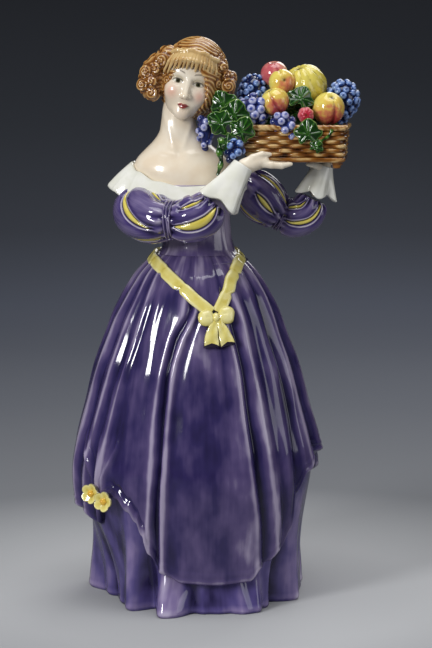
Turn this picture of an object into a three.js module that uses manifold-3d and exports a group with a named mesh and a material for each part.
// A glazed earthenware figurine: a lady in a violet dress who lifts a basket of fruit beside her head.
// It is made the way such a figurine is stuck up in the pottery: every casting, pressing and hand-rolled
// piece is its own solid, and each one is cut to sit on its neighbours with a thin joint of slip between.
// Millimetres, +Z up. The figure looks along -Y, and +X is the viewer's right.
import * as THREE from "three";
import { mergeVertices } from "three/addons/utils/BufferGeometryUtils.js";
import Module from "manifold-3d";

const wasm = await Module();
wasm.setup();

// Driving dimensions

const SLIP_GAP = 0.3; // the slip joint between two stuck-up pieces
const CAST_WALL = 5; // wall of the hollow casting
const FACET_ERROR = 0.5; // how far a facet may lie off the true curve
const TOUCH = 1e-3; // cubic millimetres that two pieces may share by rounding
const WAIST_HEIGHT = 212; // floor to the narrowest part of the waist

const UNDERSKIRT_HEM_REACH = 63; // mean radius of the underskirt's hem
const OVERSKIRT_REACH = 76.5; // widest radius of the overskirt, sideways
const OVERSKIRT_FRONT_REACH = 66; // widest radius of the overskirt, towards the viewer
const OVERSKIRT_FRONT_HEM = 18; // height of the overskirt's hem at the front
const OVERSKIRT_WALL = 6.2; // the overskirt's wall between its folds
const FOLD_RELIEF = 1; // 1 is the fold depth listed below

const BODICE_WIDTH = 43; // across the waist
const BODICE_DEPTH = 36;
const BODICE_RISE = 40; // waist to the top of the bodice

const SHOULDER_HALF_WIDTH = 33;
const BUST_DEPTH = 40;
const NECK_RADIUS = 9.8;
const NECK_RISE = 84; // waist to the top of the neck
const NECK_SIDE = -11; // the neck leans to the viewer's left

const COLLAR_HALF_WIDTH = 45;
const COLLAR_DEPTH = 58;
const COLLAR_THICKNESS = 2.6;
const COLLAR_SIDE = -8; // the collar's middle, left of the waist's

const HEAD_HEIGHT = 45; // chin to crown
const HEAD_WIDTH = 31;
const HEAD_DEPTH = 37;
const HEAD_TILT = 13; // degrees, towards the basket
const HEAD_CENTRE = new THREE.Vector3(-5, -2, 100); // above the waist
const HAIR_THICKNESS = 6;
const HAIR_SIDE = 2.5; // the hair is piled up towards the basket

const RIGHT_SHOULDER = new THREE.Vector3(-41, -6, 24);
const RIGHT_ELBOW = new THREE.Vector3(-14.5, -33, 20.5);
const RIGHT_WRIST = new THREE.Vector3(27, -31, 50);
const LEFT_SHOULDER = new THREE.Vector3(27, 6, 42);
const LEFT_ELBOW = new THREE.Vector3(51, 8, 18);
const LEFT_WRIST = new THREE.Vector3(71, 6, 47);
const UPPER_PUFF_RADIUS = 16.5;
const FORE_PUFF_RADIUS = 14.5;
const LEFT_UPPER_PUFF_RADIUS = 15;
const LEFT_FORE_PUFF_RADIUS = 12.5;
const ELBOW_BAND_RADIUS = 11.5;
const ELBOW_BAND_WIDTH = 5;
const WRIST_RADIUS = 5;
const RIGHT_CUFF_TOP = new THREE.Vector3(28, -31, 53);
const RIGHT_CUFF_MOUTH = new THREE.Vector3(19.5, -32.5, 36.5);
const LEFT_CUFF_TOP = new THREE.Vector3(76, 6, 50);
const LEFT_CUFF_MOUTH = new THREE.Vector3(71.5, 6, 33);
const CUFF_RADIUS = 14;
const LEFT_CUFF_RADIUS = 11.5;
const FINGER_RADIUS = 2.1;

const BASKET_WIDTH = 61;
const BASKET_DEPTH = 37;
const BASKET_HEIGHT = 22;
const BASKET_WALL = 3.4;
const BASKET_FLARE = 2; // how far the rim stands out past the floor, each side
const BASKET_RIM_RADIUS = 1.7;
const BASKET_TURN = -6; // degrees about the vertical
const BASKET_CENTRE = new THREE.Vector3(59.5, -2, 53.4); // middle of its floor, above the waist
const FILL_DEPTH = 4.5; // rim down to the bed of clay that carries the fruit

const GRAPE_DIP = 1.3; // how deep the gaps between the grapes are
const LEAF_THICKNESS = 1.5;
const SASH_WIDTH = 7.6;
const SASH_PROUD = 1.9;
const BOW_SIDE = 11.4; // the bow stands right of the middle
const BOW_DROP = 35.5; // waist to the bow's knot
const KNOT_RADIUS = 3.1;
const FLOWER_RADIUS = 6.2;
const FLOWER_TURN = 0.6; // the flowers face this share of the way round to their place on the skirt

// Glaze colours

const glaze = (name, color, roughness = 0.12) =>
  new THREE.MeshStandardMaterial({ name, color, roughness, metalness: 0 });
const VIOLET = glaze("violet_glaze", 0x3b2c66);
const UNDER_VIOLET = glaze("under_violet_glaze", 0x41315f);
const WHITE = glaze("white_glaze", 0xe9e6da);
const FLESH = glaze("flesh_glaze", 0xeadfca);
const YELLOW = glaze("yellow_glaze", 0xecd658);
const HAIR = glaze("hair_glaze", 0xc58a45);
const BROWN = glaze("basket_glaze", 0x84501f);
const GRAPE = glaze("grape_glaze", 0x4a58a5);
const GREEN = glaze("leaf_glaze", 0x24501f);
const PEACH = glaze("peach_glaze", 0xe79a4e);
const RED = glaze("apple_glaze", 0xc95a55);

// Small helpers for solids

const rad = THREE.MathUtils.degToRad;
const clamp01 = (t) => Math.min(1, Math.max(0, t));
const smooth = (t) => clamp01(t) ** 2 * (3 - 2 * clamp01(t));
const vec = (x, y, z) => new THREE.Vector3(x, y, z);

// Geometry with its shared vertices merged, so that it is one closed surface.
function closed(geometry) {
  const bare = geometry.clone();
  for (const name of Object.keys(bare.attributes)) if (name !== "position") bare.deleteAttribute(name);
  return mergeVertices(bare, 1e-3);
}

// Moves every vertex of a closed geometry by a rule.
function sculpt(geometry, rule) {
  const made = closed(geometry);
  const at = made.attributes.position;
  const p = new THREE.Vector3();
  for (let i = 0; i < at.count; i++) {
    p.fromBufferAttribute(at, i);
    rule(p);
    at.setXYZ(i, p.x, p.y, p.z);
  }
  return closed(made);
}

// A closed solid through rings of equal length, with each end closed to its own middle.
function loft(rings) {
  const n = rings[0].length;
  const middle = (ring) => ring.reduce((sum, p) => sum.add(p), vec(0, 0, 0)).divideScalar(n);
  const points = [middle(rings[0]), ...rings.flat(), middle(rings.at(-1))];
  const last = points.length - 1;
  const faces = [];
  for (let i = 0; i < n; i++) {
    const j = (i + 1) % n;
    faces.push(0, 1 + j, 1 + i);
    for (let r = 0; r < rings.length - 1; r++) {
      const a = 1 + r * n;
      const b = a + n;
      faces.push(a + i, a + j, b + j, a + i, b + j, b + i);
    }
    faces.push(last, last - n + i, last - n + j);
  }
  const made = new THREE.BufferGeometry().setFromPoints(points);
  made.setIndex(faces);
  return made;
}

// A round limb along a path, with a radius at each point of it.
function limb(path, radii, sides, flatten = 1) {
  const curve = new THREE.CatmullRomCurve3(path);
  const steps = radii.length - 1;
  const frames = curve.computeFrenetFrames(steps, false);
  const rings = radii.map((radius, k) => {
    const centre = curve.getPointAt(k / steps);
    return Array.from({ length: sides }, (_, i) => {
      const turn = (i / sides) * Math.PI * 2;
      return centre
        .clone()
        .addScaledVector(frames.normals[k], Math.cos(turn) * radius * flatten)
        .addScaledVector(frames.binormals[k], Math.sin(turn) * radius);
    });
  });
  return loft(rings);
}

// Moves a surface outwards so that each facet lies at least that far from where it was.
function grown(geometry, distance) {
  const at = geometry.attributes.position;
  const corners = geometry.index.array;
  const facets = [];
  const outward = Array.from({ length: at.count }, () => vec(0, 0, 0));
  for (let k = 0; k < corners.length; k += 3) {
    const three = [0, 1, 2].map((n) => vec(0, 0, 0).fromBufferAttribute(at, corners[k + n]));
    const edge = (from, to) => three[to % 3].clone().sub(three[from % 3]);
    facets.push(edge(0, 1).cross(edge(0, 2)).normalize());
    for (let n = 0; n < 3; n++)
      outward[corners[k + n]].addScaledVector(facets.at(-1), edge(n, n + 1).angleTo(edge(n, n + 2)));
  }
  outward.forEach((out) => out.normalize());
  const least = new Array(at.count).fill(1);
  corners.forEach((corner, k) => {
    least[corner] = Math.min(least[corner], outward[corner].dot(facets[Math.floor(k / 3)]));
  });
  outward.forEach((out, i) => {
    const far = distance / Math.max(0.35, least[i]);
    at.setXYZ(i, at.getX(i) + far * out.x, at.getY(i) + far * out.y, at.getZ(i) + far * out.z);
  });
}

function toSolid(geometry, matrix = new THREE.Matrix4(), grow = 0) {
  const made = closed(geometry.clone().applyMatrix4(matrix));
  if (grow) grown(made, grow);
  return new wasm.Manifold(
    new wasm.Mesh({
      numProp: 3,
      vertProperties: made.attributes.position.array,
      triVerts: new Uint32Array(made.index.array),
    }),
  );
}

function toGeometry(solid) {
  const mesh = solid.getMesh();
  const made = new THREE.BufferGeometry();
  made.setAttribute("position", new THREE.BufferAttribute(mesh.vertProperties, 3));
  made.setIndex(new THREE.BufferAttribute(mesh.triVerts, 1));
  return made;
}

// Several closed geometries joined into one.
const fuse = (...geometries) =>
  toGeometry(geometries.map((g) => toSolid(g)).reduce((all, one) => all.add(one)));

const figurine = new THREE.Group();
const pieces = []; // in order: each one is cut to fit those before it

function add(name, geometry, material, parent) {
  const light = toGeometry(toSolid(geometry).simplify(FACET_ERROR));
  const mesh = new THREE.Mesh(light, material);
  mesh.name = name;
  parent.add(mesh);
  pieces.push(mesh);
  return mesh;
}

// Skirts

// Ridges and valleys round the underskirt's hem: degrees from the front, and radius past the mean one.
const UNDERSKIRT_FOLDS = [
  [-168, 3], [-156, -5], [-143, 5], [-130, -3], [-114, 9], [-99, 4], [-88, -6], [-72, -12], [-56, -9],
  [-40, -1], [-31, -13], [-17, 4], [0, -9], [20, -5], [35, 1], [44, -5], [56, -12], [71, 1], [86, -1],
  [100, 1], [115, 7], [128, -2], [142, 6], [155, -3], [172, 5],
];
// The overskirt's fold lines, from the viewer's left round to the back. Each one has its height past the
// smooth skirt and the points that it runs through, from the waist down: degrees from the front, height.
const FOLD_LINES = [
  [-2.8, [-155, 205], [-155, 30]],
  [2.4, [-143, 205], [-144, 30]],
  [-2.8, [-130, 205], [-133, 30]],
  [2.4, [-117, 205], [-122, 30]],
  [-2.6, [-102, 205], [-110, 110], [-111, 30]],
  [2.4, [-88, 205], [-96, 146], [-100, 101], [-101, 50]],
  [-2.2, [-76, 205], [-82, 180], [-86, 150], [-90, 110], [-91, 60]],
  [2.2, [-65.5, 205], [-66, 189], [-71.5, 168], [-73.5, 146], [-75.5, 124], [-76.5, 101], [-79, 55]],
  [-1.8, [-59.5, 205], [-60, 187], [-64.5, 168], [-66.3, 146], [-68.6, 124], [-70, 101], [-74, 60]],
  [2, [-53.3, 205], [-53, 186], [-56.5, 167], [-58.5, 145], [-61.8, 124], [-64, 100], [-68, 55]],
  [-2.2, [-47.5, 205], [-47, 185], [-50.3, 167], [-53, 146], [-56.6, 124], [-58, 101], [-61, 50]],
  [2.2, [-41.5, 204], [-41.9, 182], [-45, 158], [-48.7, 138], [-51.5, 118], [-52.8, 99], [-56, 65]],
  [-2.4, [-35.5, 203], [-37, 181], [-40.9, 158], [-43.6, 139], [-45.6, 119], [-45.5, 80], [-47, 66]],
  [1.8, [-28, 200], [-30, 175], [-31, 151], [-32, 127], [-32.5, 101], [-34, 78], [-37, 50]],
  [0.4, [-20, 196], [-22.5, 172], [-25.5, 151], [-27.5, 127], [-27.8, 104], [-29, 79], [-31, 45]],
  [1.4, [-9, 190], [-10, 180], [-18, 164.5], [-21.5, 148.5], [-23.6, 127.5],
    [-24, 79], [-26.3, 54], [-28, 30]],
  [-3, [-3, 190], [-4, 180], [-14, 163], [-17, 152], [-19, 128], [-19.6, 88], [-21.3, 63], [-23, 25]],
  [1.8, [0, 190], [-0.5, 180], [-9, 163], [-12.8, 152], [-15.2, 128],
    [-16.2, 88], [-17.8, 63], [-19.6, 25]],
  [-0.6, [3, 190], [3, 180], [-4.5, 163], [-8.5, 150], [-11.6, 128], [-12.6, 88], [-14, 60], [-15.5, 22]],
  [0.9, [6, 190], [5, 175], [1, 160], [-1.5, 145], [-4, 120], [-4.5, 90], [-6, 20]],
  [0.5, [12, 190], [13, 175], [14.5, 155], [15.5, 130], [15.8, 100], [16, 20]],
  [1.8, [17, 192], [21.5, 172], [24.6, 151], [26, 127], [27.2, 103], [29, 79], [32.8, 53], [35.5, 22]],
  [-3.2, [21, 192], [26, 172], [29.4, 151], [30.8, 127], [32, 103], [33.6, 78], [38, 52], [40.5, 25]],
  [1.8, [28, 194], [34, 175], [36, 151], [37.3, 126], [38.3, 102], [40.4, 77], [45.2, 51], [48, 30]],
  [-0.8, [38, 198], [42, 175], [43.6, 150], [44.7, 122], [45.6, 98], [47.4, 74], [50.5, 45]],
  [1, [47, 201], [48.8, 172], [50.2, 146], [51.6, 118], [51, 91], [52, 66], [55, 42]],
  [-2.8, [56, 204], [55.3, 170], [57.2, 144], [58.8, 117], [57.2, 91], [57.8, 74], [60.5, 50]],
  [2.2, [68, 205], [65.5, 178], [64.4, 146], [66.1, 116], [66.8, 96], [67.9, 86], [69, 70]],
  [-2.2, [76, 205], [73, 176], [72.3, 146], [74, 120], [76, 100], [78, 80]],
  [2.2, [85, 205], [82, 176], [81.5, 146], [83.5, 120], [85.5, 100], [87, 88]],
  [-2.4, [96, 205], [93, 150], [96, 88]],
  [2.4, [106, 205], [104, 150], [106, 60]],
  [-2.8, [117, 205], [117, 40]],
  [2.4, [128, 205], [128, 30]],
  [-2.8, [139, 205], [139, 30]],
  [2.4, [150, 205], [150, 30]],
  [-2.8, [161, 205], [161, 30]],
  [2.4, [172, 205], [172, 30]],
  [-2.8, [182, 205], [183, 30]],
  [2.4, [193, 205], [194, 30]],
];
// Height of the overskirt's hem past its front one: it is caught up at the flowers and at the other hip.
const HEM_HEIGHTS = [
  [-180, 10], [-150, 14], [-125, 24], [-105, 36], [-90, 42], [-72, 37], [-61, 32], [-55, 46], [-49, 53],
  [-44, 49], [-38, 25], [-29, 15], [-21, 8], [-8, 1.5], [12, 0], [31, 1], [41, 8], [51, 16], [60, 29],
  [69, 62], [80, 71], [92, 64], [108, 42], [126, 22], [152, 12],
];
// Radius of the overskirt from hem to waist as a share of its widest, by height as a share of the waist's.
const SKIRT_PROFILE = [
  [0.0, 0.85], [0.09, 0.885], [0.19, 0.93], [0.28, 0.975], [0.37, 1.0], [0.45, 0.975], [0.56, 0.895],
  [0.68, 0.8], [0.755, 0.715], [0.835, 0.63], [0.9, 0.535], [0.945, 0.45], [0.985, 0.335], [1.0, 0.28],
];

// Smooth wave through points spaced round a circle.
function aroundCircle(points, degrees) {
  const d = ((((degrees + 180) % 360) + 360) % 360) - 180;
  const n = points.length;
  let k = points.findIndex((p) => p[0] > d);
  if (k < 0) k = n;
  const [a0, v0] = points[(k - 1 + n) % n];
  const [a1, v1] = points[k % n];
  const span = (a1 - a0 + 360) % 360;
  const into = (d - a0 + 360) % 360;
  return v0 + (v1 - v0) * (0.5 - 0.5 * Math.cos((Math.PI * into) / span));
}

// Straight runs between points in order of their first number.
function between(points, x) {
  const k = Math.max(1, points.findIndex((p) => p[0] >= x));
  if (x >= points.at(-1)[0]) return points.at(-1)[1];
  const [x0, v0] = points[k - 1];
  const [x1, v1] = points[k];
  return v0 + (v1 - v0) * clamp01((x - x0) / (x1 - x0));
}

const atAngle = (degrees, radius, z) =>
  vec(radius * Math.sin(rad(degrees)), -radius * Math.cos(rad(degrees)), z);

const skirtShare = (z) => between(SKIRT_PROFILE, z / WAIST_HEIGHT);

// The overskirt's mean radius in one direction at one height: an oval, narrower towards the front.
function skirtRadius(degrees, z) {
  const share = skirtShare(z);
  const frontShare = OVERSKIRT_FRONT_REACH / OVERSKIRT_REACH;
  const across = OVERSKIRT_REACH * share;
  const along = across * (frontShare + (1 - frontShare) * smooth((z / WAIST_HEIGHT - 0.55) / 0.45));
  return (across * along) / Math.hypot(along * Math.sin(rad(degrees)), across * Math.cos(rad(degrees)));
}

const hemHeight = (degrees) => OVERSKIRT_FRONT_HEM + aroundCircle(HEM_HEIGHTS, degrees);

// Angles that catch each of the underskirt's ridges and valleys, and the slope between.
const foldAngles = (folds) =>
  folds.flatMap(([a], k) => {
    const next = folds[(k + 1) % folds.length][0] + (k + 1 === folds.length ? 360 : 0);
    return [a, (a + next) / 2];
  });

// A fold line's direction at one height, and the height of the hem under it.
const onFold = ([, ...line], z) => between([...line].reverse().map(([degrees, at]) => [at, degrees]), z);
const foldFoot = (fold) => fold.at(-1)[0];

const OVERSKIRT_STEPS = [1, 0.9, 0.77, 0.64, 0.5, 0.37, 0.25, 0.15, 0.06, 0.015]; // from the hem up
const waistTop = WAIST_HEIGHT - 2;
function overskirtForm() {
  const columns = FOLD_LINES.flatMap((fold, k) => [
    [fold, fold, 0],
    [fold, FOLD_LINES[(k + 1) % FOLD_LINES.length], k + 1 === FOLD_LINES.length ? 180 : 0],
  ]);
  const rings = OVERSKIRT_STEPS.map((down) =>
    columns.map(([left, right, halfTurn]) => {
      const foot = hemHeight((foldFoot(left) + foldFoot(right)) / 2 + halfTurn);
      const z = foot + (waistTop - foot) * (1 - down);
      const angle = (onFold(left, z) + onFold(right, z)) / 2 + halfTurn;
      const relief = (FOLD_RELIEF * (left[0] + right[0]) * (0.1 + 0.9 * skirtShare(z))) / 2;
      return atAngle(angle, skirtRadius(angle, z) + relief * smooth((1 - down) / 0.06 + 0.5), z);
    }),
  );
  return loft(rings);
}

// The underskirt stays inside the overskirt where that covers it, and spreads below the overskirt's hem.
function underskirtRadius(degrees, z) {
  const hem = UNDERSKIRT_HEM_REACH + FOLD_RELIEF * aroundCircle(UNDERSKIRT_FOLDS, degrees);
  const covered = skirtRadius(degrees, z) - OVERSKIRT_WALL;
  const t = smooth(z / (hemHeight(degrees) + OVERSKIRT_WALL));
  return hem * (1 - t) + covered * t;
}

const UNDERSKIRT_LEVELS = [0, 0.012, 0.1, 0.22, 0.38, 0.6, 0.8, 0.94];
const HOLLOW_LEVELS = [0, 0.1, 0.22, 0.38, 0.6, 0.88];
function underskirtForm(hollow) {
  const outside = UNDERSKIRT_LEVELS.map((level) =>
    foldAngles(UNDERSKIRT_FOLDS).map((angle) => {
      const z = level * WAIST_HEIGHT;
      return atAngle(angle, underskirtRadius(angle, z) - (level === 0 ? 0.8 : 0), z);
    }),
  );
  const inside = HOLLOW_LEVELS.map((level) =>
    foldAngles(UNDERSKIRT_FOLDS).map((angle) => {
      const z = level * WAIST_HEIGHT;
      return atAngle(angle, underskirtRadius(angle, z) - CAST_WALL, z);
    }),
  );
  return loft(hollow ? [...inside.reverse(), ...outside] : outside);
}

add("underskirt", underskirtForm(true), UNDER_VIOLET, figurine);

// Bust, neck and bodice, above the waist

const torso = new THREE.Group();
torso.position.z = WAIST_HEIGHT;
figurine.add(torso);

const oval = (x, y, z, halfWidth, halfDepth, sides) =>
  Array.from({ length: sides }, (_, i) => {
    const turn = (i / sides) * Math.PI * 2;
    return vec(x + halfWidth * Math.sin(turn), y - halfDepth * Math.cos(turn), z);
  });

// Bust and neck from below the collar to inside the head: share of the rise, half width and half depth as
// shares of the shoulder's, and how far the section has moved from the waist's middle to the neck's.
const BUST_SECTIONS = [
  [0.3, 0.6, 0.84, 0.4], [0.42, 0.72, 0.96, 0.55], [0.52, 0.88, 1.0, 0.65], [0.6, 0.9, 0.95, 0.74],
  [0.66, 0.8, 0.84, 0.82], [0.72, 0.64, 0.7, 0.88], [0.78, 0.48, 0.58, 0.93],
];
const NECK_SECTIONS = [[0.84, 1.24, 0.95], [0.91, 1.06, 1.0], [1.0, 1.0, 0.97], [1.06, 0.96, 0.93]];
function bustForm() {
  const sides = 24;
  const rings = BUST_SECTIONS.map(([up, wide, deep, lean]) =>
    oval(
      NECK_SIDE * lean, -1.5, NECK_RISE * up,
      SHOULDER_HALF_WIDTH * wide, (BUST_DEPTH / 2) * deep, sides,
    ),
  );
  for (const [up, wide, lean] of NECK_SECTIONS)
    rings.push(oval(NECK_SIDE * lean, -1.5, NECK_RISE * up, NECK_RADIUS * wide, NECK_RADIUS * wide, sides));
  return loft(rings);
}

// The bodice: an hourglass that stands on the skirt's top.
const BODICE_SECTIONS = [
  [-0.1, 1, 1], [0.12, 0.97, 0.98], [0.35, 0.96, 1.02],
  [0.6, 1.02, 1.12], [0.82, 1.14, 1.16], [1, 1.2, 1.14],
];
function bodiceForm() {
  return loft(
    BODICE_SECTIONS.map(([up, wide, deep]) =>
      oval(
        0.7 + NECK_SIDE * 0.65 * up * up, -1.5 * up, BODICE_RISE * up,
        (BODICE_WIDTH / 2) * wide, (BODICE_DEPTH / 2) * deep, 26,
      ),
    ),
  );
}

// The wide collar lies off the shoulders. Each row: degrees from the front, the radius of its lower edge as
// a share of the widest, and the height of that edge. The neckline stands above it.
const COLLAR_EDGE = [
  [-170, 0.86, 36], [-140, 0.9, 35], [-110, 0.98, 37.5], [-88, 1.0, 38.5], [-66, 0.97, 36],
  [-46, 0.86, 30.5], [-28, 0.84, 34], [-10, 0.84, 31.5], [10, 0.85, 31.5], [30, 0.86, 34],
  [50, 0.9, 33], [72, 0.88, 37], [100, 0.86, 38], [130, 0.86, 37], [155, 0.86, 38],
];
const NECKLINE = [
  [-180, 52], [-120, 53], [-90, 53], [-60, 48], [-30, 42.5],
  [0, 39.5], [30, 40], [55, 44], [90, 50], [130, 53],
];
function collarForm() {
  const steps = 28;
  const ring = (share, drop, inset) =>
    Array.from({ length: steps }, (_, i) => {
      const angle = (i / steps) * 360 - 180;
      const outer = aroundCircle(COLLAR_EDGE.map(([a, wide]) => [a, wide]), angle);
      const edge = aroundCircle(COLLAR_EDGE.map(([a, , z]) => [a, z]), angle);
      const neckline = aroundCircle(NECKLINE, angle);
      const wide = COLLAR_HALF_WIDTH * outer * (1 - share) + (SHOULDER_HALF_WIDTH - 2) * share - inset;
      const deep = (COLLAR_DEPTH / 2) * outer * (1 - share) + (BUST_DEPTH / 2 + 1) * share - inset;
      const z = edge + (neckline - edge) * share ** 0.8 - drop;
      return vec(COLLAR_SIDE + wide * Math.sin(rad(angle)), -2 - deep * Math.cos(rad(angle)), z);
    });
  const top = loft([ring(0, 0.8, 2), ring(0, 0, 0), ring(0.5, 0, 0), ring(1, 0, 0)]);
  const t = COLLAR_THICKNESS;
  const under = loft([ring(-0.12, 3 * t, -3), ring(0, t, 1), ring(0.5, t, t * 0.7), ring(1, t, t)]);
  return toGeometry(toSolid(top).subtract(toSolid(under)));
}

// Sleeves, cuffs and hands

// A gathered puff: a fat limb with shallow lobes, pinched at both ends.
function puff(path, radius, lobes, pinch = 0.55) {
  const curve = new THREE.CatmullRomCurve3(path);
  const steps = 6;
  const sides = 14;
  const frames = curve.computeFrenetFrames(steps, false);
  const rings = Array.from({ length: steps + 1 }, (_, k) => {
    const along = k / steps;
    const centre = curve.getPointAt(along);
    const swell = pinch + (1 - pinch) * Math.sin(Math.PI * along) ** 0.6;
    return Array.from({ length: sides }, (_, i) => {
      const turn = (i / sides) * Math.PI * 2;
      const r = radius * swell * (1 + 0.03 * Math.cos(lobes * turn));
      return centre
        .clone()
        .addScaledVector(frames.normals[k], Math.cos(turn) * r)
        .addScaledVector(frames.binormals[k], Math.sin(turn) * r);
    });
  });
  return loft(rings);
}

// The pleated band that ties two puffs together.
function bandForm(centre, axis, radius) {
  const sides = 18;
  const side = vec(0, 0, 1).cross(axis).normalize();
  const up = axis.clone().cross(side).normalize();
  const rings = [[-0.5, 0.86], [-0.3, 1.02], [0.3, 1.02], [0.5, 0.86]].map(([along, share]) =>
    Array.from({ length: sides }, (_, i) => {
      const turn = (i / sides) * Math.PI * 2;
      const r = radius * share * (i % 2 ? 0.95 : 1.03);
      return centre
        .clone()
        .addScaledVector(axis, along * ELBOW_BAND_WIDTH)
        .addScaledVector(side, Math.cos(turn) * r)
        .addScaledVector(up, Math.sin(turn) * r);
    }),
  );
  return loft(rings);
}

// A bell cuff: narrow at the wrist, its ruffled mouth turned back over the sleeve, hollow inside.
function cuffForm(wrist, mouth, radius, ruffles, phase) {
  const sides = 20;
  const axis = mouth.clone().sub(wrist).normalize();
  const side = vec(0, 1, 0).cross(axis).normalize();
  const up = axis.clone().cross(side).normalize();
  const ring = (along, r, wave) =>
    Array.from({ length: sides }, (_, i) => {
      const turn = (i / sides) * Math.PI * 2;
      const ripple = wave * Math.cos(ruffles * turn + phase);
      return wrist
        .clone()
        .lerp(mouth, along)
        .addScaledVector(axis, ripple * 0.9)
        .addScaledVector(side, Math.cos(turn) * (r + ripple))
        .addScaledVector(up, Math.sin(turn) * (r + ripple));
    });
  const wall = 2.2;
  const narrow = WRIST_RADIUS + 1.6;
  return loft([
    ring(0, narrow, 0), ring(0.28, narrow * 1.12, 0.3), ring(0.62, radius * 0.76, 0.9), ring(1, radius, 1.7),
    ring(1, radius - wall, 1.7), ring(0.62, radius * 0.72 - wall, 0.8), ring(0.3, 1, 0),
  ]);
}

// A hand: wrist, palm, thumb and four fingers, each a limb along its own path.
function handForm(wristPath, palmPath, palmFlat, thumb, fingers) {
  const wrist = limb(wristPath, [WRIST_RADIUS, WRIST_RADIUS * 0.92, WRIST_RADIUS * 0.86], 9);
  const palm = limb(palmPath, [3.2, 5.4, 6.2, 5.2, 3.0], 9, palmFlat);
  const digits = [thumb, ...fingers].map((path, k) => {
    const r = FINGER_RADIUS * (k === 0 ? 1.15 : 1);
    return limb(path, [r, r * 1.05, r * 0.6], 6);
  });
  return fuse(wrist, palm, ...digits);
}

// Head and hair, each in the tilted head's own frame: the face looks along -Y

function headForm() {
  const ball = new THREE.SphereGeometry(1, 18, 14).rotateX(Math.PI / 2);
  return sculpt(ball, (p) => {
    const low = smooth(-p.z);
    const front = smooth(-p.y * 1.4);
    p.x *= (HEAD_WIDTH / 2) * (1 - 0.34 * low * low) * (1 - 0.06 * front);
    p.y *= (HEAD_DEPTH / 2) * (1 - 0.2 * low * (1 - front));
    p.z *= HEAD_HEIGHT / 2;
    const nose = Math.exp(-((p.x / 2.6) ** 2) - ((p.z + 4) / 4) ** 2);
    const brow = Math.exp(-((p.x / 9) ** 2) - ((p.z - 3.5) / 3) ** 2);
    const chin = Math.exp(-((p.x / 5) ** 2) - ((p.z + 19) / 4) ** 2);
    p.y -= front * (3 * nose + 0.8 * brow + 2 * chin);
  });
}

function hairCrownForm() {
  const ball = new THREE.SphereGeometry(1, 16, 10).rotateX(Math.PI / 2);
  const mass = sculpt(ball, (p) => {
    const nape = smooth(-p.z * 1.2);
    p.x = p.x * (HEAD_WIDTH / 2 + HAIR_THICKNESS) * (1 - 0.2 * nape) + HAIR_SIDE;
    p.y = p.y * (HEAD_DEPTH / 2 + HAIR_THICKNESS - 1) + 3;
    p.z = p.z * (HEAD_HEIGHT / 2 + HAIR_THICKNESS / 2) + 3.2;
  });
  const face = new THREE.CylinderGeometry(1, 1, 30, 14).scale(HEAD_WIDTH / 2 - 1.5, 1, 20);
  face.translate(0, -22, -6.5);
  return toGeometry(toSolid(mass).subtract(toSolid(face)));
}

function curlsForm(curls) {
  return fuse(
    ...curls.map(([x, y, z, r]) =>
      new THREE.IcosahedronGeometry(r, 1).scale(0.95, 0.9, 1.05).translate(x, y, z),
    ),
  );
}

// Basket, fruit, grapes and leaves

// A rectangle with rounded corners, as a ring of points.
function rectangleRing(width, depth, corner, z) {
  const points = [];
  for (const [sx, sy, start] of [[1, -1, -90], [1, 1, 0], [-1, 1, 90], [-1, -1, 180]])
    for (let k = 0; k <= 3; k++) {
      const turn = rad(start + 30 * k);
      points.push(
        vec(
          sx * (width / 2 - corner) + corner * Math.cos(turn),
          sy * (depth / 2 - corner) + corner * Math.sin(turn),
          z,
        ),
      );
    }
  return points;
}

function basketForm() {
  const ring = (out, z) => {
    const wider = 2 * (out - BASKET_FLARE * (1 - z / BASKET_HEIGHT));
    return rectangleRing(BASKET_WIDTH + wider, BASKET_DEPTH + wider, 3, z);
  };
  const r = BASKET_RIM_RADIUS;
  const top = BASKET_HEIGHT;
  const walls = loft([
    ring(0, 0), ring(1, 0.7), ring(1, 2.6), ring(0, 3.4), ring(0, top - 2 * r), ring(r * 0.7, top - 1.6 * r),
    ring(r, top - r), ring(r * 0.7, top - 0.4 * r), ring(0, top), ring(-BASKET_WALL, top - 0.5),
    ring(-BASKET_WALL, top - FILL_DEPTH),
  ]);
  const feet = [[1, 1], [1, -1], [-1, 1], [-1, -1]].map(([sx, sy]) =>
    new THREE.CylinderGeometry(4, 1.6, 4.5, 8)
      .rotateX(Math.PI / 2)
      .translate(
        sx * (BASKET_WIDTH / 2 - BASKET_FLARE - 3.5),
        sy * (BASKET_DEPTH / 2 - BASKET_FLARE - 3.5),
        -1.6,
      ),
  );
  return fuse(walls, ...feet);
}

// A round fruit: shallow ribs or one seam, and a dimple at the stalk.
function fruitForm(radius, ribs, ribDepth, squash = 0.94) {
  const ball = new THREE.SphereGeometry(1, 16, 10).rotateX(Math.PI / 2);
  return sculpt(ball, (p) => {
    const turn = Math.atan2(p.y, p.x);
    const dimple = 0.16 * Math.exp(-((Math.hypot(p.x, p.y) / 0.3) ** 2)) * (p.z > 0 ? 1 : 0.5);
    const rib = 1 - ribDepth * (0.5 - 0.5 * Math.cos(ribs * turn)) * Math.hypot(p.x, p.y);
    p.set(p.x * rib, p.y * rib, p.z * squash * (1 - dimple)).multiplyScalar(radius);
  });
}

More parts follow.
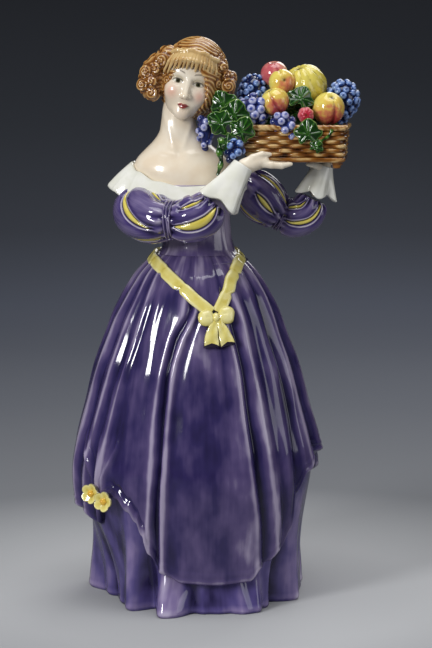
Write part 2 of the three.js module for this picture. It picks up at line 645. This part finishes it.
// A bunch of grapes: a berry stands at every corner of a ball of triangles, with a dip between each pair.
function bunchForm(halfX, halfY, halfZ, taper) {
  const corners = closed(new THREE.IcosahedronGeometry(1, 1)).attributes.position;
  const corner = (i) => vec(0, 0, 0).fromBufferAttribute(corners, i);
  const berries = Array.from({ length: corners.count }, (_, i) => corner(i));
  const dip = GRAPE_DIP / Math.min(halfX, halfY);
  return sculpt(new THREE.IcosahedronGeometry(1, 3), (p) => {
    const nearest = Math.min(...berries.map((berry) => berry.distanceTo(p)));
    const narrow = 1 - taper * smooth(0.5 - p.z / 2);
    const swell = 1 - dip * smooth(nearest / 0.3);
    p.set(p.x * halfX * narrow, p.y * halfY * narrow, p.z * halfZ).multiplyScalar(swell);
  });
}

// A vine leaf: five pointed lobes round a stalk notch, pressed flat and bent over what it lies on.
function leafForm(length, width, bend) {
  const lobes = [
    [-164, 0.34], [-140, 0.8], [-112, 0.66], [-80, 0.94], [-50, 0.76], [-26, 0.9], [0, 1.04],
    [26, 0.92], [50, 0.77], [80, 0.93], [112, 0.66], [140, 0.78], [164, 0.34],
  ];
  const shape = new THREE.Shape(
    lobes.map(([a, r]) => {
      const share = r / 1.04;
      return new THREE.Vector2(
        share * (width / 2) * 1.15 * Math.sin(rad(a)),
        share * (length * 0.56) * Math.cos(rad(a)),
      );
    }),
  );
  const plate = new THREE.ExtrudeGeometry(shape, {
    depth: LEAF_THICKNESS,
    steps: 1,
    bevelEnabled: true,
    bevelThickness: LEAF_THICKNESS * 0.4,
    bevelSize: LEAF_THICKNESS * 0.4,
    bevelSegments: 1,
  });
  // The blade is drawn in x and y and thickens along z; it is bent down at its sides and its tip.
  return sculpt(plate, (p) => {
    p.z -= bend * ((p.x / width) ** 2 * 4 + (p.y / length) ** 2 * 2);
  });
}

const tendrilForm = (points, radius) =>
  limb(points, Array.from({ length: 3 * points.length }, (_, k) => radius * (1 - 0.12 * (k % 3))), 7);

// A ribbon laid along a surface. Each point comes with the surface's outward direction.
function ribbonForm(points, width, proud, sunk = 1.2) {
  const rings = points.map(([p, out], k) => {
    const before = points[Math.max(0, k - 1)][0];
    const after = points[Math.min(points.length - 1, k + 1)][0];
    const along = after.clone().sub(before).normalize();
    const across = out.clone().cross(along).normalize();
    const sideways = across.multiplyScalar(width / 2);
    const at = (side, lift) => p.clone().addScaledVector(sideways, side).addScaledVector(out, lift);
    return [
      at(1, -sunk), at(1, proud * 0.55), at(0.7, proud), at(0, proud * 0.85), at(-0.7, proud),
      at(-1, proud * 0.55), at(-1, -sunk),
    ];
  });
  return loft(rings);
}

// A flower with five petals and a raised middle.
function flowerForm(radius) {
  const ball = new THREE.SphereGeometry(1, 20, 8).rotateX(Math.PI / 2);
  return sculpt(ball, (p) => {
    const flat = Math.hypot(p.x, p.y);
    const petal = 0.8 + 0.2 * Math.cos(5 * Math.atan2(p.y, p.x));
    const dish = 0.34 * Math.sqrt(Math.max(0, 1 - flat * flat)) + 0.3 * Math.exp(-((flat / 0.28) ** 2));
    p.set(p.x * petal, p.y * petal, p.z > 0 ? dish + 0.12 * flat : p.z * 0.7).multiplyScalar(radius);
  });
}

// Putting the figurine together. Each piece is cut to fit the ones added before it.

add("overskirt", overskirtForm(), VIOLET, figurine);
add("bodice", bodiceForm(), VIOLET, torso);
add("neck_and_shoulders", bustForm(), FLESH, torso);

const headGroup = new THREE.Group();
headGroup.position.copy(HEAD_CENTRE);
headGroup.rotation.y = rad(HEAD_TILT);
torso.add(headGroup);
add("head", headForm(), FLESH, headGroup);
add("hair_crown", hairCrownForm(), HAIR, headGroup);
const hairline = [
  [-17, -9, 1], [-13.5, -14, 8.5], [-6, -18.5, 13], [3, -19, 13.5], [12, -15, 10], [17, -9, 2],
];
add(
  "hair_fringe",
  limb(hairline.map(([x, y, z]) => vec(x, y, z)), [2.5, 4.4, 5, 5.2, 5.4, 5.4, 5.2, 5, 4.4, 2.5], 10),
  HAIR, headGroup,
);
const rightCurls = [
  [-16.6, -4, 10, 6.4], [-20, -4, 4.4, 6.4], [-23, -4, -4, 7], [-21.4, -5, -10.4, 6.2], [-19, 5, -5, 8],
];
const leftCurls = [[20.2, -4, 10, 5.8], [22.1, -4, 3.2, 6.3], [21.8, -4.5, -2.2, 6], [19.5, 5, 1, 8]];
add("right_side_curls", curlsForm(rightCurls), HAIR, headGroup);
add("left_side_curls", curlsForm(leftCurls), HAIR, headGroup);

add("collar", collarForm(), WHITE, torso);

// Basket, lifted on both hands

const basketGroup = new THREE.Group();
basketGroup.position.copy(BASKET_CENTRE);
basketGroup.rotation.z = rad(BASKET_TURN);
torso.add(basketGroup);
add("basket", basketForm(), BROWN, basketGroup);

const line = (...points) => points.map(([x, y, z]) => vec(x, y, z));
add(
  "right_hand",
  handForm(
    line([17, -33, 36], [20.5, -32.5, 44], [24.5, -31, 49.5]),
    line([22.5, -32, 47], [28.5, -30, 51.5], [34.5, -28, 54], [41.5, -26.5, 54.6]),
    0.7,
    line([28, -31, 53.5], [33, -30, 57], [38.5, -27.5, 58.8], [43.5, -25.5, 58.6]),
    [0, 1, 2, 3].map((k) => {
      const across = 3.7 * k - 25;
      return line(
        [37, across - 3.6, 53.6], [44, across - 3.2, 52.6], [50, across - 2, 52], [56 - k, across, 53],
      );
    }),
  ),
  FLESH, torso,
);
add(
  "left_hand",
  handForm(
    line([72.5, 6, 34], [74.5, 6.5, 42], [76, 8, 48.5]),
    line([75.5, 5, 46], [76.5, 8, 50], [77, 12.5, 51.5], [77.5, 16.5, 52.5]),
    0.9,
    line([75, 3, 49], [71.5, -2, 51], [68.5, -6, 52], [66, -9.5, 52]),
    [0, 1, 2, 3].map((k) => {
      const across = 71.5 + 3.8 * k;
      return line(
        [across, 14, 51.5], [across, 19.5, 53], [across - 1, 21.5, 58], [across - 1.6, 21.8, 64.5 - k],
      );
    }),
  ),
  FLESH, torso,
);

// Sleeves: an upper puff, a pleated band at the elbow and a lower puff on each arm

const rightBandAxis = vec(0.93, -0.3, 0.02).normalize();
const leftBandAxis = vec(0.86, -0.05, -0.5).normalize();
const leftUpperEnd = LEFT_ELBOW.clone().addScaledVector(leftBandAxis, -1);
add("right_elbow_band", bandForm(RIGHT_ELBOW, rightBandAxis, ELBOW_BAND_RADIUS), VIOLET, torso);
add("left_elbow_band", bandForm(LEFT_ELBOW, leftBandAxis, ELBOW_BAND_RADIUS * 0.72), VIOLET, torso);
add(
  "right_upper_sleeve",
  puff([RIGHT_SHOULDER, vec(-33, -18, 22), vec(-23, -28, 20.5), RIGHT_ELBOW], UPPER_PUFF_RADIUS, 6, 0.6),
  VIOLET, torso,
);
add(
  "left_upper_sleeve",
  puff([LEFT_SHOULDER, vec(36, 8, 33), leftUpperEnd], LEFT_UPPER_PUFF_RADIUS, 6, 0.55),
  VIOLET, torso,
);
add(
  "right_forearm_sleeve",
  puff([RIGHT_ELBOW, vec(-5, -35, 20.5), vec(4, -35, 24), vec(10, -34, 31)], FORE_PUFF_RADIUS, 6, 0.6),
  VIOLET, torso,
);
add(
  "left_forearm_sleeve",
  puff([LEFT_ELBOW, vec(58, 7, 17.5), vec(66, 6, 22), vec(70, 6, 30)], LEFT_FORE_PUFF_RADIUS, 6, 0.6),
  VIOLET, torso,
);
add("right_cuff", cuffForm(RIGHT_CUFF_TOP, RIGHT_CUFF_MOUTH, CUFF_RADIUS, 5, 0.6), WHITE, torso);
add("left_cuff", cuffForm(LEFT_CUFF_TOP, LEFT_CUFF_MOUTH, LEFT_CUFF_RADIUS, 5, 2), WHITE, torso);

// Sash and bow

// A point of the skirt as seen from the front: x to the right, and how far below the waist.
function onFront(x, below) {
  const level = Math.min(WAIST_HEIGHT - below, waistTop);
  let low = -90;
  let high = 90;
  for (let step = 0; step < 30; step++) {
    const angle = (low + high) / 2;
    const reach = skirtRadius(angle, level) * Math.sin(rad(angle));
    if (reach < x) low = angle;
    else high = angle;
  }
  return onAngle((low + high) / 2, below);
}
function onAngle(angle, below) {
  const level = Math.min(WAIST_HEIGHT - below, waistTop);
  const r = skirtRadius(angle, level);
  const steep = Math.atan2(skirtRadius(angle, level - 3) - skirtRadius(angle, level + 0), 3) * 0.8;
  const out = atAngle(angle, Math.cos(steep), Math.sin(steep)).normalize();
  return [atAngle(angle, r, -below), out];
}
const alongFront = (points) => points.map(([x, below]) => onFront(x, below));
const hip = skirtRadius(90, WAIST_HEIGHT - SASH_WIDTH / 2);
const rightSash = [[-hip, 3.2], [-hip * 0.86, 7.5], [-15, 14], [-7, 20.5], [1, 27], [7.5, 32]];
const leftSash = [[hip, 2.6], [hip * 0.93, 7], [21, 14], [18.5, 21], [15.5, 27.5], [13, 32]];
const BACK_SASH_STEPS = 10;
const backSash = Array.from({ length: BACK_SASH_STEPS }, (_, k) => {
  const share = k / (BACK_SASH_STEPS - 1);
  return onAngle(-84 - 192 * share, SASH_WIDTH / 2 - 0.2 - 0.4 * share);
});
const bowGroup = new THREE.Group();
const [knotPlace] = onFront(BOW_SIDE, BOW_DROP);
bowGroup.position.copy(knotPlace).add(vec(0, -1.2, 0));
bowGroup.rotation.set(rad(-24), 0, rad(12));
torso.add(bowGroup);
const tail = (points) => ribbonForm(points.map(([x, y, z]) => [vec(x, y, z), vec(0, -1, 0.2)]), 7, 1.3, 1);
// A loop of the bow: a plump pillow, narrow at the knot and hollowed on its face.
const bowLoop = (side, halfWidth, halfHeight, rise) =>
  sculpt(new THREE.SphereGeometry(1, 14, 10).rotateX(Math.PI / 2), (p) => {
    const narrow = 1 - 0.4 * smooth((1 - side * p.x) / 2);
    const face = p.y < 0 ? 0.4 * Math.exp(-((p.x / 0.5) ** 2) - (p.z / 0.5) ** 2) : 0;
    const x = side * (KNOT_RADIUS + halfWidth * 0.7) + p.x * halfWidth;
    p.set(x, p.y * 2.9 * (1 - face), p.z * halfHeight * narrow + rise);
  });
add("bow_knot", new THREE.IcosahedronGeometry(KNOT_RADIUS, 1).scale(0.85, 0.85, 1.05), YELLOW, bowGroup);
add("bow_right_loop", bowLoop(-1, 4.8, 5.2, -0.6), YELLOW, bowGroup);
add("bow_left_loop", bowLoop(1, 5, 5.7, 2), YELLOW, bowGroup);
const rightTail = tail([[-0.5, -0.2, -1.5], [-1.8, 0, -7], [-2.2, 0.6, -12], [-1.4, 1.4, -18]]);
const leftTail = tail([[1.8, -0.2, -1.5], [4.6, 0, -6.5], [7, 0.6, -11.5], [8.6, 1.4, -16.5]]);
add("bow_right_tail", rightTail, YELLOW, bowGroup);
add("bow_left_tail", leftTail, YELLOW, bowGroup);
add("sash_right", ribbonForm(alongFront(rightSash), SASH_WIDTH, SASH_PROUD), YELLOW, torso);
add("sash_left", ribbonForm(alongFront(leftSash), SASH_WIDTH, SASH_PROUD), YELLOW, torso);
add("sash_back", ribbonForm(backSash, SASH_WIDTH, SASH_PROUD), YELLOW, torso);

// Fruit, bedded in the basket: name, place above the waist, radius, ribs, rib depth, turn, glaze

const FRUIT = [
  ["melon", [64.8, 6, 97.6], 13.6, 9, 0.09, [10, 14], YELLOW],
  ["right_peach", [78.4, -7.5, 84.6], 9.8, 1, 0.05, [60, 30], PEACH],
  ["front_peach", [46.4, -11, 89], 8.8, 1, 0.06, [-30, 20], PEACH],
  ["top_peach", [50.8, -3.5, 100], 8, 1, 0.05, [40, 50], PEACH],
  ["back_apple", [46.4, 5.5, 104.8], 8.4, 1, 0.03, [-20, -30], RED],
  ["berry", [64.6, -15.8, 81.2], 5, 6, 0.08, [70, 0], RED],
];
for (const [name, place, radius, ribs, depth, [tipBack, tipSide], colour] of FRUIT) {
  const mesh = add(name, fruitForm(radius, ribs, depth), colour, torso);
  mesh.position.set(...place);
  mesh.rotation.set(rad(tipBack), rad(tipSide), 0);
}

// Grape bunches: name, place above the waist, half sizes, taper, tilt about the viewing line

const BUNCHES = [
  ["back_left_grapes", [33.2, 4.5, 89.5], [10.5, 11.5, 16], 0.15, 6],
  ["front_left_grapes", [34, -12.5, 83.6], [11, 8.5, 10.4], 0.3, -30],
  ["centre_grapes", [52, -18.5, 75.5], [8.2, 6, 10.2], 0.4, -35],
  ["right_grapes", [86.4, 5, 87.2], [12.2, 13.5, 15], 0.3, 20],
  ["neck_grapes", [5, -12, 70.5], [6.6, 6.4, 11.5], 0.4, 0],
  ["hand_grapes", [22, -26, 60.2], [6.8, 5.4, 8], 0.4, 25],
];
for (const [name, place, halves, taper, tilt] of BUNCHES) {
  const mesh = add(name, bunchForm(...halves, taper), GRAPE, torso);
  mesh.position.set(...place);
  mesh.rotation.y = rad(tilt);
}

// Leaves: name, place above the waist, length, width, bend, turns about x, y and z in degrees

const LEAVES = [
  ["top_leaf", [61.4, -12, 90], 17, 17, 3, [66, 20, 0]],
  ["front_leaf", [65.8, -23, 70.2], 17, 17, 2, [92, 0, 0]],
  ["small_front_leaf", [70.4, -23, 62.6], 9, 9, 1, [90, 30, 0]],
  ["rim_leaf", [22.5, -18.6, 81], 18, 18, 3, [95, 10, 0]],
  ["upper_trailing_leaf", [16.6, -15.5, 86.6], 18, 17, 3, [95, -30, -10]],
  ["middle_trailing_leaf", [26.6, -22.5, 72], 17, 16, 3, [95, 25, 0]],
  ["outer_trailing_leaf", [15, -19.5, 76.4], 17, 16, 2.5, [95, -60, -10]],
  ["lower_trailing_leaf", [17.8, -23, 65.6], 14, 13, 2, [92, 150, 0]],
];
for (const [name, place, length, width, bend, [aboutX, aboutY, aboutZ]] of LEAVES) {
  const mesh = add(name, leafForm(length, width, bend), GREEN, torso);
  mesh.position.set(...place);
  mesh.rotation.order = "ZYX";
  mesh.rotation.set(rad(aboutX), rad(aboutY), rad(aboutZ));
}
add(
  "hanging_tendril",
  tendrilForm(line([16, -22, 68], [13.5, -23, 61], [14.5, -23, 54], [12.5, -22, 46]), 2),
  GREEN, torso,
);
add(
  "front_tendril",
  tendrilForm(line([80, -23.4, 73], [77.5, -23.8, 69], [73, -24, 66], [71, -23.4, 63.5]), 0.9),
  GREEN, torso,
);

// Two flowers catch up the overskirt at the viewer's left

for (const [name, angle, z] of [["outer_skirt_flower", -61, 70.5], ["inner_skirt_flower", -52.5, 67]]) {
  const mesh = add(name, flowerForm(FLOWER_RADIUS), YELLOW, figurine);
  mesh.position.copy(atAngle(angle, skirtRadius(angle, z) + 3, z));
  mesh.lookAt(mesh.position.clone().add(atAngle(angle * FLOWER_TURN, 10, 1)));
}

// Cutting every piece to fit, with its slip joint

figurine.updateMatrixWorld(true);
const blanks = pieces.map((mesh) => ({
  mesh,
  geometry: mesh.name === "underskirt" ? underskirtForm(false) : mesh.geometry,
}));
const placed = blanks.map(({ mesh, geometry }) => ({
  mesh,
  solid: toSolid(mesh.geometry, mesh.matrixWorld),
  cutter: toSolid(geometry, mesh.matrixWorld, SLIP_GAP),
}));
const meets = (a, b) => {
  const one = a.boundingBox();
  const two = b.boundingBox();
  return [0, 1, 2].every((k) => one.min[k] <= two.max[k] && two.min[k] <= one.max[k]);
};
const sharedVolume = (a, b) => (meets(a, b) ? a.intersect(b).volume() : 0);
const largestBody = (solid) => solid.decompose().sort((a, b) => b.volume() - a.volume())[0];
placed.forEach((piece, k) => {
  let solid = piece.solid;
  for (const earlier of placed.slice(0, k))
    if (meets(solid, earlier.cutter)) solid = solid.subtract(earlier.cutter);
  piece.fitted = largestBody(solid.simplify(SLIP_GAP / 2));
  for (const { fitted } of placed.slice(0, k)) {
    for (let share = 0.5; share <= 2 && sharedVolume(piece.fitted, fitted) > TOUCH; share *= 2) {
      const cutter = toSolid(toGeometry(fitted), new THREE.Matrix4(), SLIP_GAP * share);
      piece.fitted = largestBody(piece.fitted.subtract(cutter));
    }
  }
  const local = toGeometry(piece.fitted);
  local.applyMatrix4(piece.mesh.matrixWorld.clone().invert());
  local.computeVertexNormals();
  piece.mesh.geometry = local;
});

// Centre the figurine over its own footprint and stand it on the floor
const whole = new THREE.Box3().setFromObject(figurine);
const middle = whole.getCenter(vec(0, 0, 0));
figurine.position.set(-middle.x, -middle.y, -whole.min.z);

const group = new THREE.Group();
group.name = "basket_lady_figurine";
group.add(figurine);
export default group;
